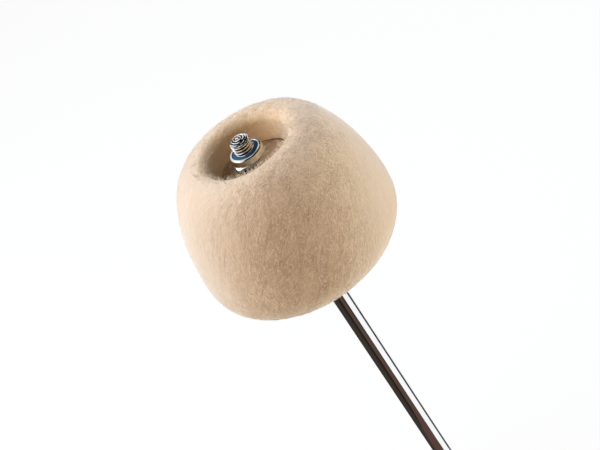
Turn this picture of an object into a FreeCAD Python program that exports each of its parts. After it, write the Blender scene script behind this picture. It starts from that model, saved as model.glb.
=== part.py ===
import FreeCAD, Part
import Sketcher
import math
import os

# Bass drum beater: a turned felt head clamped between two wide washers near the threaded end of a steel rod.
# The centre of the rod's lower end is the origin, +Z runs up the rod and every length is in millimetres.

# Driving sizes, one cell of the sheet each
SIZES = {
    # Rod, its lower end bare for the pedal's clamp and its upper end threaded
    "rod_length": 220.0,
    "rod_diameter": 8.0,
    "rod_chamfer": 0.8,
    "thread_relief": 0.05,
    "thread_runout": 1.0,
    "thread_spare": 4.0,
    "thread_stand": 6.2,
    "thread_tip_flat": 2.0,
    # Felt head, with a recess in its top for the lock nut
    "head_diameter": 84.6,
    "head_height": 61.2,
    "head_belly_height": 14.4,
    "recess_diameter": 35.0,
    "recess_depth": 14.2,
    "recess_lip_round": 4.2,
    "head_bore_clearance": 0.1,
    # Wide washers that spread the clamp's load on the felt
    "washer_thickness": 1.6,
    "washer_edge_round": 0.4,
    "washer_bore_clearance": 0.2,
    "upper_washer_gap": 0.8,
    "lower_washer_diameter": 30.0,
    # Spring washer, drawn flat
    "spring_washer_diameter": 14.8,
    "spring_washer_thickness": 2.0,
    "spring_washer_split": 1.0,
    "spring_washer_slant": 0.8,
    # Both nuts
    "nut_face_inset": 0.7,
    "nut_chamfer_degrees": 30.0,
    "nut_thread_clearance": 0.05,
    "nut_countersink": 0.6,
    "lower_nut_flats": 14.0,
    "lower_nut_height": 6.5,
    # Lock nut, whose collar is rolled over the nylon ring
    "lock_nut_flats": 14.0,
    "lock_nut_height": 9.5,
    "lock_nut_heading_degrees": 37.0,
    "collar_height": 3.1,
    "collar_inset": 0.1,
    "collar_round": 0.9,
    "collar_wall": 0.9,
    "crimp_overlap": 0.4,
    "crimp_thickness": 0.5,
    "insert_height": 2.3,
    "insert_clearance": 0.02,
    # Reach of a cut past the solid that it cuts
    "overrun": 1.0,
}

doc = FreeCAD.newDocument("beater")
sheet = doc.addObject("Spreadsheet::Sheet", "Sizes")
for row, (alias, number) in enumerate(SIZES.items(), start=1):
    sheet.set(f"A{row}", alias)
    sheet.set(f"B{row}", str(number))
    sheet.setAlias(f"B{row}", alias)
doc.recompute()

# Radii that several pieces share
ROD_RADIUS = "Sizes.rod_diameter / 2"
THREAD_RADIUS = f"({ROD_RADIUS} - Sizes.thread_relief)"
NUT_BORE_RADIUS = f"({THREAD_RADIUS} + Sizes.nut_thread_clearance)"
WASHER_BORE_RADIUS = f"({THREAD_RADIUS} + Sizes.washer_bore_clearance)"
COLLAR_RADIUS = "(Sizes.lock_nut_flats / 2 - Sizes.collar_inset)"
SEAT_RADIUS = f"({COLLAR_RADIUS} - Sizes.collar_wall)"

# Heights of the stack, from the threaded tip down
LOCK_NUT_FOOT = "Sizes.rod_length - Sizes.thread_stand - Sizes.lock_nut_height"
UPPER_WASHER_FOOT = f"{LOCK_NUT_FOOT} - Sizes.washer_thickness"
RECESS_FLOOR = "Sizes.head_height - Sizes.recess_depth"
HEAD_FOOT = f"{UPPER_WASHER_FOOT} - ({RECESS_FLOOR})"
LOWER_WASHER_FOOT = f"{HEAD_FOOT} - Sizes.washer_thickness"
SPRING_WASHER_FOOT = f"{LOWER_WASHER_FOOT} - Sizes.spring_washer_thickness"
LOWER_NUT_FOOT = f"{SPRING_WASHER_FOOT} - Sizes.lower_nut_height"
THREAD_FOOT = f"{LOWER_NUT_FOOT} - Sizes.thread_spare"

# Place of the nylon ring in the lock nut, from the nut's foot
SEAT_ROOF = "(Sizes.lock_nut_height - Sizes.crimp_thickness)"
SEAT_FLOOR = f"({SEAT_ROOF} - Sizes.insert_height - Sizes.insert_clearance)"


def value(expression):
    """The number that an expression gives with the sheet as it stands."""
    return float(sheet.evalExpression(expression))


def new_body(label, foot):
    """An empty body whose own zero lies at the height foot on the rod."""
    body = doc.addObject("PartDesign::Body", label)
    body.Label = label
    body.setExpression("Placement.Base.z", foot)
    return body


def new_sketch(body, role, name):
    """A sketch on one of the body's own origin planes."""
    sketch = body.newObject("Sketcher::SketchObject", name)
    plane = next(item for item in body.Origin.OriginFeatures if item.Role == role)
    sketch.AttachmentSupport = [(plane, "")]
    sketch.MapMode = "FlatFace"
    return sketch


def bind_distance(sketch, kind, geometry, point, expression):
    """Holds a point's distance from the sketch's origin along one axis to an expression."""
    index = sketch.addConstraint(Sketcher.Constraint(kind, -1, 1, geometry, point, value(expression)))
    sketch.setExpression(f"Constraints[{index}]", expression)


def place_point(sketch, geometry, point, across, up):
    """Ties one end of a line or arc to its two expressions, or to an axis where one of them is zero."""
    vertical_axis = -2
    horizontal_axis = -1
    if across == "0":
        sketch.addConstraint(Sketcher.Constraint("PointOnObject", geometry, point, vertical_axis))
    else:
        bind_distance(sketch, "DistanceX", geometry, point, across)
    if up == "0":
        sketch.addConstraint(Sketcher.Constraint("PointOnObject", geometry, point, horizontal_axis))
    else:
        bind_distance(sketch, "DistanceY", geometry, point, up)


def draw_outline(sketch, corners):
    """A closed outline of straight lines through corners, each a pair of expressions."""
    points = [FreeCAD.Vector(value(across), value(up), 0) for across, up in corners]
    lines = []
    for start, end in zip(points, points[1:] + points[:1]):
        lines.append(sketch.addGeometry(Part.LineSegment(start, end)))
    for line, following in zip(lines, lines[1:] + lines[:1]):
        sketch.addConstraint(Sketcher.Constraint("Coincident", line, 2, following, 1))
    for line, (across, up) in zip(lines, corners):
        place_point(sketch, line, 1, across, up)


def turn(body, sketch, kind, name):
    """A full turn of a sketch about the rod's axis, added as a Revolution or cut as a Groove."""
    feature = body.newObject(f"PartDesign::{kind}", name)
    feature.Profile = sketch
    feature.ReferenceAxis = (sketch, ["V_Axis"])
    feature.Angle = 360
    sketch.Visibility = False
    doc.recompute()
    return feature


def round_edges(body, base, circles, radius, name):
    """Rounds the circular edges of base that lie at the given pairs of radius and height."""
    tolerance = value("Sizes.overrun") / 1000
    names = []
    for number, edge in enumerate(base.Shape.Edges, start=1):
        for across, up in circles:
            if isinstance(edge.Curve, Part.Circle) and abs(edge.Curve.Radius - value(across)) < tolerance \
                    and abs(edge.Curve.Center.z - value(up)) < tolerance:
                names.append(f"Edge{number}")
    fillet = body.newObject("PartDesign::Fillet", name)
    fillet.Base = (base, names)
    fillet.setExpression("Radius", radius)
    doc.recompute()
    return fillet


def hexagon(body, flats, height):
    """The hexagonal bar that a nut is cut from, with a corner towards +X."""
    bar = body.newObject("PartDesign::AdditivePrism", "Bar")
    bar.Polygon = 6
    bar.setExpression("Circumradius", f"{flats} / sqrt(3)")
    bar.setExpression("Height", height)
    doc.recompute()


def make_rod():
    """Steel rod: chamfered foot, plain shank, thread cut a little under the shank, rounded tip."""
    body = new_body("shaft", "0")
    sketch = new_sketch(body, "XZ_Plane", "RodOutline")
    draw_outline(sketch, [
        ("0", "0"),
        (f"{ROD_RADIUS} - Sizes.rod_chamfer", "0"),
        (ROD_RADIUS, "Sizes.rod_chamfer"),
        (ROD_RADIUS, THREAD_FOOT),
        (THREAD_RADIUS, f"{THREAD_FOOT} + Sizes.thread_runout"),
        (THREAD_RADIUS, "Sizes.rod_length"),
        ("0", "Sizes.rod_length"),
    ])
    rod = turn(body, sketch, "Revolution", "RodTurned")
    round_edges(body, rod, [(THREAD_RADIUS, "Sizes.rod_length")],
                f"{THREAD_RADIUS} - Sizes.thread_tip_flat / 2", "RodTip")


def make_head():
    """Felt head: flat foot, round lower corner, long elliptic crown up to the rim, recess with a rolled lip."""
    body = new_body("felt_head", HEAD_FOOT)
    sketch = new_sketch(body, "XZ_Plane", "HeadOutline")
    bore = f"({THREAD_RADIUS} + Sizes.head_bore_clearance)"
    widest = "Sizes.head_diameter / 2"
    belly = "Sizes.head_belly_height"
    wall = "Sizes.recess_diameter / 2"
    lip = "Sizes.recess_lip_round"
    crest = f"{wall} + {lip}"
    foot_edge = f"{widest} - {belly}"
    lip_height = f"Sizes.head_height - {lip}"
    normal = FreeCAD.Vector(0, 0, 1)

    def at(across, up):
        return FreeCAD.Vector(value(across), value(up), 0)

    foot = sketch.addGeometry(Part.LineSegment(at(bore, "0"), at(foot_edge, "0")))
    corner_circle = Part.Circle(at(foot_edge, belly), normal, value(belly))
    corner = sketch.addGeometry(Part.ArcOfCircle(corner_circle, -math.pi / 2, 0))
    inner_side = at(f"2 * ({crest}) - {widest}", belly)
    crown_ellipse = Part.Ellipse(at(crest, "Sizes.head_height"), inner_side, at(crest, belly))
    crown = sketch.addGeometry(Part.ArcOfEllipse(crown_ellipse, -math.pi / 2, 0))
    lip_circle = Part.Circle(at(crest, lip_height), normal, value(lip))
    roll = sketch.addGeometry(Part.ArcOfCircle(lip_circle, math.pi / 2, math.pi))
    side = sketch.addGeometry(Part.LineSegment(at(wall, lip_height), at(wall, RECESS_FLOOR)))
    floor = sketch.addGeometry(Part.LineSegment(at(wall, RECESS_FLOOR), at(bore, RECESS_FLOOR)))
    hole = sketch.addGeometry(Part.LineSegment(at(bore, RECESS_FLOOR), at(bore, "0")))

    joins = [(foot, 2, corner, 1), (corner, 2, crown, 1), (crown, 2, roll, 1), (roll, 2, side, 1),
             (side, 2, floor, 1), (floor, 2, hole, 1), (hole, 2, foot, 1)]
    for join in joins:
        sketch.addConstraint(Sketcher.Constraint("Coincident", *join))
    place_point(sketch, foot, 1, bore, "0")
    place_point(sketch, corner, 1, foot_edge, "0")
    place_point(sketch, corner, 3, foot_edge, belly)
    bind_distance(sketch, "DistanceY", corner, 2, belly)
    place_point(sketch, crown, 3, crest, belly)
    place_point(sketch, crown, 2, crest, "Sizes.head_height")
    place_point(sketch, roll, 3, crest, lip_height)
    bind_distance(sketch, "DistanceY", roll, 2, lip_height)
    place_point(sketch, side, 2, wall, RECESS_FLOOR)
    place_point(sketch, floor, 2, bore, RECESS_FLOOR)
    sketch.exposeInternalGeometry(crown)
    long_axis = hole + 1
    sketch.addConstraint(Sketcher.Constraint("Vertical", long_axis))
    turn(body, sketch, "Revolution", "HeadTurned")


def make_washer(label, foot, radius):
    """Stamped wide washer, with the rounded edge that stamping leaves on its upper side."""
    body = new_body(label, foot)
    sketch = new_sketch(body, "XY_Plane", "WasherOutline")
    for expression in (radius, WASHER_BORE_RADIUS):
        circle = Part.Circle(FreeCAD.Vector(0, 0, 0), FreeCAD.Vector(0, 0, 1), value(expression))
        ring = sketch.addGeometry(circle)
        sketch.addConstraint(Sketcher.Constraint("Coincident", ring, 3, -1, 1))
        index = sketch.addConstraint(Sketcher.Constraint("Radius", ring, value(expression)))
        sketch.setExpression(f"Constraints[{index}]", expression)
    plate = body.newObject("PartDesign::Pad", "Plate")
    plate.Profile = sketch
    plate.setExpression("Length", "Sizes.washer_thickness")
    sketch.Visibility = False
    doc.recompute()
    round_edges(body, plate, [(radius, "Sizes.washer_thickness")], "Sizes.washer_edge_round", "StampedEdge")


def make_spring_washer():
    """Split ring of square section, pulled flat, its ends parted by a slanted slit."""
    body = new_body("spring_washer", SPRING_WASHER_FOOT)
    sketch = new_sketch(body, "XZ_Plane", "RingSection")
    outer = "Sizes.spring_washer_diameter / 2"
    top = "Sizes.spring_washer_thickness"
    draw_outline(sketch, [(WASHER_BORE_RADIUS, "0"), (outer, "0"), (outer, top), (WASHER_BORE_RADIUS, top)])
    turn(body, sketch, "Revolution", "Ring")
    slit = new_sketch(body, "YZ_Plane", "SplitOutline")
    half = "Sizes.spring_washer_split / 2"
    lean = "Sizes.spring_washer_slant"
    draw_outline(slit, [
        (f"-{half} - {lean}", "-Sizes.overrun"),
        (f"{half} - {lean}", "-Sizes.overrun"),
        (f"{half} + {lean}", f"{top} + Sizes.overrun"),
        (f"-{half} + {lean}", f"{top} + Sizes.overrun"),
    ])
    split = body.newObject("PartDesign::Pocket", "Split")
    split.Profile = slit
    split.setExpression("Length", f"{outer} + Sizes.overrun")
    split.Reversed = True
    slit.Visibility = False
    doc.recompute()


def chamfer_rise(flats):
    """Height that a nut's end cone climbs from its flat face to past its corners."""
    reach = f"({flats} / sqrt(3) + Sizes.overrun - {flats} / 2 + Sizes.nut_face_inset)"
    return f"{reach} * tan(Sizes.nut_chamfer_degrees)"


def make_lower_nut():
    """Plain hexagon nut under the felt, coned at both ends."""
    body = new_body("lower_nut", LOWER_NUT_FOOT)
    flats = "Sizes.lower_nut_flats"
    height = "Sizes.lower_nut_height"
    hexagon(body, flats, height)
    face = f"{flats} / 2 - Sizes.nut_face_inset"
    outside = f"{flats} / sqrt(3) + Sizes.overrun"
    for name, end, inward in (("FootCone", "0", "+"), ("TopCone", height, "-")):
        sketch = new_sketch(body, "XZ_Plane", f"{name}Outline")
        draw_outline(sketch, [(face, end), (outside, end), (outside, f"{end} {inward} {chamfer_rise(flats)}")])
        turn(body, sketch, "Groove", name)
    bore = new_sketch(body, "XZ_Plane", "BoreOutline")
    entry = f"{NUT_BORE_RADIUS} + Sizes.nut_countersink"
    draw_outline(bore, [
        ("0", "0"),
        (entry, "0"),
        (NUT_BORE_RADIUS, "Sizes.nut_countersink"),
        (NUT_BORE_RADIUS, f"{height} - Sizes.nut_countersink"),
        (entry, height),
        ("0", height),
    ])
    turn(body, bore, "Groove", "Bore")


def make_lock_nut():
    """Lock nut: hexagon coned at its foot and shoulder, round collar rolled inwards over the nylon ring."""
    body = new_body("lock_nut", LOCK_NUT_FOOT)
    body.setExpression("Placement.Rotation.Angle", "Sizes.lock_nut_heading_degrees")
    flats = "Sizes.lock_nut_flats"
    height = "Sizes.lock_nut_height"
    hexagon(body, flats, height)
    face = f"{flats} / 2 - Sizes.nut_face_inset"
    outside = f"{flats} / sqrt(3) + Sizes.overrun"
    foot = new_sketch(body, "XZ_Plane", "FootConeOutline")
    draw_outline(foot, [(face, "0"), (outside, "0"), (outside, chamfer_rise(flats))])
    turn(body, foot, "Groove", "FootCone")

    shoulder = f"{height} - Sizes.collar_height"
    fall = f"({outside} - {COLLAR_RADIUS}) * tan(Sizes.nut_chamfer_degrees)"
    collar = new_sketch(body, "XZ_Plane", "CollarOutline")
    draw_outline(collar, [
        (COLLAR_RADIUS, shoulder),
        (outside, f"{shoulder} - {fall}"),
        (outside, f"{height} + Sizes.overrun"),
        (COLLAR_RADIUS, f"{height} + Sizes.overrun"),
    ])
    turned_collar = turn(body, collar, "Groove", "Collar")
    round_edges(body, turned_collar, [(COLLAR_RADIUS, height)], "Sizes.collar_round", "RolledEdge")

    bore = new_sketch(body, "XZ_Plane", "BoreOutline")
    entry = f"{NUT_BORE_RADIUS} + Sizes.nut_countersink"
    mouth = f"{SEAT_RADIUS} - Sizes.crimp_overlap"
    draw_outline(bore, [
        ("0", "0"),
        (entry, "0"),
        (NUT_BORE_RADIUS, "Sizes.nut_countersink"),
        (NUT_BORE_RADIUS, SEAT_FLOOR),
        (SEAT_RADIUS, SEAT_FLOOR),
        (SEAT_RADIUS, SEAT_ROOF),
        (mouth, SEAT_ROOF),
        (mouth, f"{height} + Sizes.overrun"),
        ("0", f"{height} + Sizes.overrun"),
    ])
    turn(body, bore, "Groove", "BoreAndSeat")


def make_nylon_insert():
    """Nylon ring that grips the thread, lying on its seat in the lock nut's collar."""
    body = new_body("nylon_insert", f"{LOCK_NUT_FOOT} + {SEAT_FLOOR}")
    sketch = new_sketch(body, "XZ_Plane", "RingSection")
    inner = f"{THREAD_RADIUS} + Sizes.insert_clearance"
    outer = f"{SEAT_RADIUS} - Sizes.insert_clearance"
    draw_outline(sketch, [
        (inner, "0"),
        (outer, "0"),
        (outer, "Sizes.insert_height"),
        (inner, "Sizes.insert_height"),
    ])
    turn(body, sketch, "Revolution", "Ring")


make_rod()
make_lower_nut()
make_spring_washer()
make_washer("lower_washer", LOWER_WASHER_FOOT, "Sizes.lower_washer_diameter / 2")
make_head()
make_washer("upper_washer", UPPER_WASHER_FOOT, "Sizes.recess_diameter / 2 - Sizes.upper_washer_gap")
make_lock_nut()
make_nylon_insert()
doc.recompute()

for item in doc.Objects:
    if "Invalid" in item.State or "Error" in item.State:
        raise RuntimeError(f"{item.Label} failed: {item.State}")
bodies = [item for item in doc.Objects if item.TypeId == "PartDesign::Body"]
for body in bodies:
    if body.Shape.isNull() or not body.Shape.isValid() or len(body.Shape.Solids) != 1:
        raise RuntimeError(f"{body.Label} is not one sound solid")

os.makedirs("parts", exist_ok=True)
for body in bodies:
    body.Shape.exportStep(f"parts/{body.Label}.step")
    box = body.Shape.optimalBoundingBox()
    print(f"{body.Label}: {box.XLength:.2f} x {box.YLength:.2f} x {box.ZLength:.2f} mm,"
          f" foot at {box.ZMin:.2f}, volume {body.Shape.Volume:.1f} mm3")
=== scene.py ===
import math

import bmesh
import bpy
import numpy as np
from mathutils import Euler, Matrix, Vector, noise


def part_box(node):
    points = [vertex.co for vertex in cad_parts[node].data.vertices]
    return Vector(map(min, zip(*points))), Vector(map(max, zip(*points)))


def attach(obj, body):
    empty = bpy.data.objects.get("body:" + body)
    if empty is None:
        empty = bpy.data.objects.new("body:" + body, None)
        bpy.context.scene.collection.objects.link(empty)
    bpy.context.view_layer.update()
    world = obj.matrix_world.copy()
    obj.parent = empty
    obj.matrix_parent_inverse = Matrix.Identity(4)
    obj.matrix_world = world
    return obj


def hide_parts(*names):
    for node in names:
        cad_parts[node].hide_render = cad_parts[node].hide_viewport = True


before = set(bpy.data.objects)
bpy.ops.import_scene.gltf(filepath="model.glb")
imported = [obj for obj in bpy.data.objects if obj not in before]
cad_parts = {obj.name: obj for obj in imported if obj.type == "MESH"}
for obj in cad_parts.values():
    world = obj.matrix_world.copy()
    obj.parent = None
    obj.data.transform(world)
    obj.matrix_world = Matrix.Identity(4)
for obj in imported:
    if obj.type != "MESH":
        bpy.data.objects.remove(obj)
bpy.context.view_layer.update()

# Rod: an 8 mm steel rod, ground and chrome plated. Its foot is bevelled for the pedal's
# clamp. A coarse thread is rolled on its upper end, which is rounded over at the tip.
mm = 0.001
rod_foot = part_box("shaft")[0].z
rod_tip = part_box("shaft")[1].z
rod_radius = 4.0 * mm
foot_bevel = 0.8 * mm
shank_top = 141.6 * mm
shank_rows = 12
runout_length = 2.4 * mm
thread_radius = 4.1 * mm
thread_pitch = 1.25 * mm
thread_depth = 0.72 * mm
thread_crest = 0.16
thread_flank = 0.30
tip_length = 2.2 * mm
tip_pitch = 0.95 * mm
tip_thread_depth = 0.45 * mm
tip_wobble = 0.32
tip_wobble_scale = 1.6
tip_shallowing = 3.0
tip_fading = 6.0
rows_per_turn = 14
rod_steps = 72
weld_distance = 0.002 * mm
sliver_width = 0.001 * mm


def round_points(radius, height, steps):
    """Gives one level ring of points about the axis."""
    turn = np.linspace(0.0, 2.0 * math.pi, steps, endpoint=False)
    return np.stack([radius * np.cos(turn), radius * np.sin(turn), np.full(steps, height)], 1)


def turned_rows(outline, steps):
    """Turns an outline of (radius, height) pairs into rows of points about the axis."""
    return np.array([round_points(radius, height, steps) for radius, height in outline])


def placed(name, data):
    """Puts a new object in the scene, at the origin and unturned."""
    thing = bpy.data.objects.new(name, data)
    bpy.context.scene.collection.objects.link(thing)
    return thing


def skin(name, parts, sharp_degrees=32.0):
    """Joins rows of points with faces. A part is (rows, climb, closed): its seam climbs that many
    rows, as on a thread, and a closed part joins its last row to its first."""
    shape = bmesh.new()
    for rows, climb, closed in parts:
        count, steps = rows.shape[:2]
        points = [[shape.verts.new(place) for place in row] for row in rows]
        for row in range(count if closed else count - 1):
            for step in range(steps):
                beside = (step + 1) % steps
                rise = climb if beside == 0 else 0
                if not closed and row + rise + 1 >= count:
                    continue
                above = (row + 1) % count
                shape.faces.new((points[row][step], points[(row + rise) % count][beside],
                                 points[(above + rise) % count][beside], points[above][step]))
    bmesh.ops.remove_doubles(shape, verts=shape.verts, dist=weld_distance)
    bmesh.ops.dissolve_degenerate(shape, edges=shape.edges, dist=sliver_width)
    bmesh.ops.recalc_face_normals(shape, faces=shape.faces)
    mesh = bpy.data.meshes.new(name)
    shape.to_mesh(mesh)
    shape.free()
    mesh.polygons.foreach_set("use_smooth", [True] * len(mesh.polygons))
    mesh.set_sharp_from_angle(angle=math.radians(sharp_degrees))
    return placed(name, mesh)


def thread_groove(share):
    """Depth of the thread's groove, 0 on its crest and 1 at its root, by the share of a pitch."""
    away = abs((share - thread_crest / 2 + 0.5) % 1.0 - 0.5)
    depth = min(max((away - thread_crest / 2) / thread_flank, 0.0), 1.0)
    return 0.5 * depth + 0.5 * depth * depth * (3.0 - 2.0 * depth)


def thread_crest_at(length):
    """Radius, height and outward lean of the thread's crest, by the length along it from its foot."""
    if length <= thread_length:
        return thread_radius, shank_top + length, 0.0
    lean = 0.5 * math.pi * min((length - thread_length) / tip_arc, 1.0)
    return thread_radius * math.cos(lean), tip_foot + tip_length * math.sin(lean), lean


def thread_point(row, step):
    """A point on the thread, which climbs one pitch a turn and runs on over the domed tip."""
    turn = step / rod_steps
    length = min(max(thread_pitch * (row / rows_per_turn - 1.0 + turn), 0.0), thread_length + tip_arc)
    radius, height, lean = thread_crest_at(length)
    past_foot = max(length - thread_length, 0.0)
    pitches = (length - past_foot) / thread_pitch + past_foot / tip_pitch
    if past_foot > 0.0:
        waver = Vector((math.cos(2.0 * math.pi * turn), math.sin(2.0 * math.pi * turn),
                        2.0 * past_foot / tip_pitch))
        pitches += tip_wobble * min(past_foot / tip_pitch, 1.0) * noise.noise(tip_wobble_scale * waver)
    begun = min(length / runout_length, 1.0)
    ended = past_foot / tip_arc
    depth = (thread_depth + (tip_thread_depth - thread_depth) * min(tip_shallowing * ended, 1.0)) * begun
    depth *= min(tip_fading * (1.0 - ended), 1.0) * thread_groove((pitches - turn) % 1.0)
    radius += (rod_radius - thread_radius) * (1.0 - begun) - depth * math.cos(lean)
    height -= depth * math.sin(lean)
    turn *= 2.0 * math.pi
    return radius * math.cos(turn), radius * math.sin(turn), height


tip_foot = rod_tip - tip_length
thread_length = tip_foot - shank_top
tip_arc = 0.25 * math.pi * (thread_radius + tip_length)
shank_outline = [(0.0, rod_foot), (rod_radius - foot_bevel, rod_foot)]
for share in np.linspace(0.0, 1.0, shank_rows):
    shank_outline.append((rod_radius, rod_foot + foot_bevel + share * (shank_top - rod_foot - foot_bevel)))
thread_turns = (thread_length + tip_arc) / thread_pitch + 2.0
thread_rows = np.array([[thread_point(row, step) for step in range(rod_steps)]
                        for row in range(int(thread_turns * rows_per_turn) + 1)])
rod = skin("beater_rod", [(turned_rows(shank_outline, rod_steps), 0, False),
                          (thread_rows, rows_per_turn, False)])
rod_places = np.empty(3 * len(rod.data.vertices))
rod.data.vertices.foreach_get("co", rod_places)
rod_places = rod_places.reshape(-1, 3)
rod_spread = np.hypot(rod_places[:, 0], rod_places[:, 1])
up_tip = np.clip((rod_places[:, 2] - tip_foot) / tip_length, 0.0, 1.0)
sunk = 1.0 - np.hypot(rod_spread / thread_radius, up_tip)
sunk = np.where(rod_places[:, 2] > shank_top + runout_length, sunk * thread_radius, 0.0)
# Painted shade: the chrome's colour turns near black deep in the roots of the thread and of the tip's
# grooves, where the grooves hide the light.
thread_root_shade = 0.9
tip_root_shade = 0.85
root_shade = rod.data.attributes.new("root_shade", "FLOAT", "POINT")
groove_depth = np.where(up_tip > 0.0, tip_thread_depth, thread_depth)
root_shade_strength = np.where(up_tip > 0.0, tip_root_shade, thread_root_shade)
root_shade.data.foreach_set("value", root_shade_strength * np.clip(sunk / groove_depth, 0.0, 1.0))


def add_node(tree, kind, values=None, **settings):
    """Adds a node. A value that is another node's socket is linked, and any other is set."""
    node = tree.nodes.new(kind)
    for name, setting in settings.items():
        setattr(node, name, setting)
    for name, value in (values or {}).items():
        if isinstance(value, bpy.types.NodeSocket):
            tree.links.new(value, node.inputs[name])
        else:
            node.inputs[name].default_value = value
    return node


def new_group(name, kind, takes, gives):
    """Makes a node group with named sockets, each given as name: (socket kind, default)."""
    group = bpy.data.node_groups.new(name, kind)
    for socket_name, (socket_kind, default) in takes.items():
        socket = group.interface.new_socket(socket_name, in_out="INPUT", socket_type=socket_kind)
        if default is not None:
            socket.default_value = default
    for socket_name, socket_kind in gives.items():
        group.interface.new_socket(socket_name, in_out="OUTPUT", socket_type=socket_kind)
    return group, group.nodes.new("NodeGroupInput"), group.nodes.new("NodeGroupOutput")


def blended(tree, share, first, second):
    """Mixes two colours and returns the result's socket."""
    mix = add_node(tree, "ShaderNodeMix", {0: share, 6: first, 7: second}, data_type="RGBA")
    return mix.outputs[2]


def eased(tree, value, low, high, new_low, new_high):
    """Maps a value to a new range and returns the result's socket."""
    ease = add_node(tree, "ShaderNodeMapRange", {"Value": value, "From Min": low, "From Max": high,
                                                 "To Min": new_low, "To Max": new_high})
    return ease.outputs["Result"]


def worked_out(tree, operation, *values):
    """Does arithmetic on values or sockets and returns the result's socket."""
    result = add_node(tree, "ShaderNodeMath", dict(enumerate(values)), operation=operation)
    return result.outputs[0]


plating_wear_and_shade, plating_in, plating_out = new_group(
    "plating_wear_and_shade", "ShaderNodeTree",
    {"Place": ("NodeSocketVector", None),
     "Bright": ("NodeSocketColor", (0.8, 0.8, 0.8, 1.0)),
     "Dull": ("NodeSocketColor", (0.6, 0.6, 0.6, 1.0)),
     "Rim Shade": ("NodeSocketColor", (0.1, 0.1, 0.1, 1.0)),
     "Rim Middle": ("NodeSocketVector", None),
     "Rim Start": ("NodeSocketFloat", 1.0),
     "Rim Stop": ("NodeSocketFloat", 2.0),
     "Shade Way": ("NodeSocketVector", None),
     "Shade Start": ("NodeSocketFloat", 1.0),
     "Shade Stop": ("NodeSocketFloat", 2.0),
     "Polish": ("NodeSocketFloat", 0.08),
     "Haze": ("NodeSocketFloat", 0.2),
     "Smudge Scale": ("NodeSocketFloat", 160.0),
     "Line Scale": ("NodeSocketFloat", 5000.0)},
    {"Color": "NodeSocketColor", "Roughness": "NodeSocketFloat", "Height": "NodeSocketFloat"})
axes = add_node(plating_wear_and_shade, "ShaderNodeSeparateXYZ", {0: plating_in.outputs["Place"]})
flat_place = add_node(plating_wear_and_shade, "ShaderNodeCombineXYZ", {
    "X": axes.outputs["X"], "Y": axes.outputs["Y"]})
from_axis = add_node(plating_wear_and_shade, "ShaderNodeVectorMath", {0: flat_place.outputs[0]}, operation="LENGTH")
lathe_place = add_node(plating_wear_and_shade, "ShaderNodeCombineXYZ",
                       {"X": from_axis.outputs["Value"], "Y": axes.outputs["Z"]})
tool_lines = add_node(plating_wear_and_shade, "ShaderNodeTexNoise", {
    "Vector": lathe_place.outputs[0], "Scale": plating_in.outputs["Line Scale"], "Detail": 2.0})
smudges = add_node(plating_wear_and_shade, "ShaderNodeTexNoise",
                   {"Vector": plating_in.outputs["Place"], "Scale": plating_in.outputs["Smudge Scale"],
                    "Detail": 4.0, "Roughness": 0.6, "Distortion": 0.4})
smudge_range = (0.42, 0.72)
smudge = eased(plating_wear_and_shade, smudges.outputs["Fac"], *smudge_range, 0.0, 1.0)
face_colour = blended(plating_wear_and_shade, smudge, plating_in.outputs["Bright"], plating_in.outputs["Dull"])
# Painted shade: the colour darkens near a ring about a given middle and towards one given side.
from_rim_middle = add_node(plating_wear_and_shade, "ShaderNodeVectorMath", {
    0: flat_place.outputs[0], 1: plating_in.outputs["Rim Middle"]}, operation="DISTANCE")
rim_shade_share = eased(plating_wear_and_shade, from_rim_middle.outputs["Value"], plating_in.outputs["Rim Start"],
                  plating_in.outputs["Rim Stop"], 0.0, 1.0)
toward_shade_side = add_node(plating_wear_and_shade, "ShaderNodeVectorMath", {
    0: flat_place.outputs[0], 1: plating_in.outputs["Shade Way"]}, operation="DOT_PRODUCT")
shade_side = eased(plating_wear_and_shade, toward_shade_side.outputs["Value"], plating_in.outputs["Shade Start"],
                   plating_in.outputs["Shade Stop"], 0.0, 1.0)
painted_shade_share = worked_out(plating_wear_and_shade, "MAXIMUM", rim_shade_share, shade_side)
plating_colour = blended(plating_wear_and_shade, painted_shade_share, face_colour, plating_in.outputs["Rim Shade"])
haze = add_node(plating_wear_and_shade, "ShaderNodeMix", {0: smudge, 2: plating_in.outputs["Polish"],
                                                3: plating_in.outputs["Haze"]})
plating_wear_and_shade.links.new(plating_colour, plating_out.inputs["Color"])
plating_wear_and_shade.links.new(haze.outputs[0], plating_out.inputs["Roughness"])
plating_wear_and_shade.links.new(tool_lines.outputs["Fac"], plating_out.inputs["Height"])


def new_finish(name):
    """Makes a material and gives it with its node tree and its shader."""
    finish = bpy.data.materials.new(name)
    finish.use_nodes = True
    return finish, finish.node_tree, finish.node_tree.nodes["Principled BSDF"]


def plated_finish(name, wear_and_shade_values, bump_strength, bump_depth):
    """A plated metal: colour, haze and tool lines come from the shared worn-plating and painted-shade
    group.
    """
    finish, tree, shader = new_finish(name)
    place = add_node(tree, "ShaderNodeTexCoord")
    wear_and_shade = add_node(tree, "ShaderNodeGroup", node_tree=plating_wear_and_shade)
    tree.links.new(place.outputs["Object"], wear_and_shade.inputs["Place"])
    for socket, value in wear_and_shade_values.items():
        wear_and_shade.inputs[socket].default_value = value
    bump = add_node(tree, "ShaderNodeBump", {"Height": wear_and_shade.outputs["Height"], "Strength": bump_strength,
                                             "Distance": bump_depth})
    tree.links.new(wear_and_shade.outputs["Color"], shader.inputs["Base Color"])
    tree.links.new(wear_and_shade.outputs["Roughness"], shader.inputs["Roughness"])
    tree.links.new(bump.outputs["Normal"], shader.inputs["Normal"])
    shader.inputs["Metallic"].default_value = 1.0
    return finish


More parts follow.
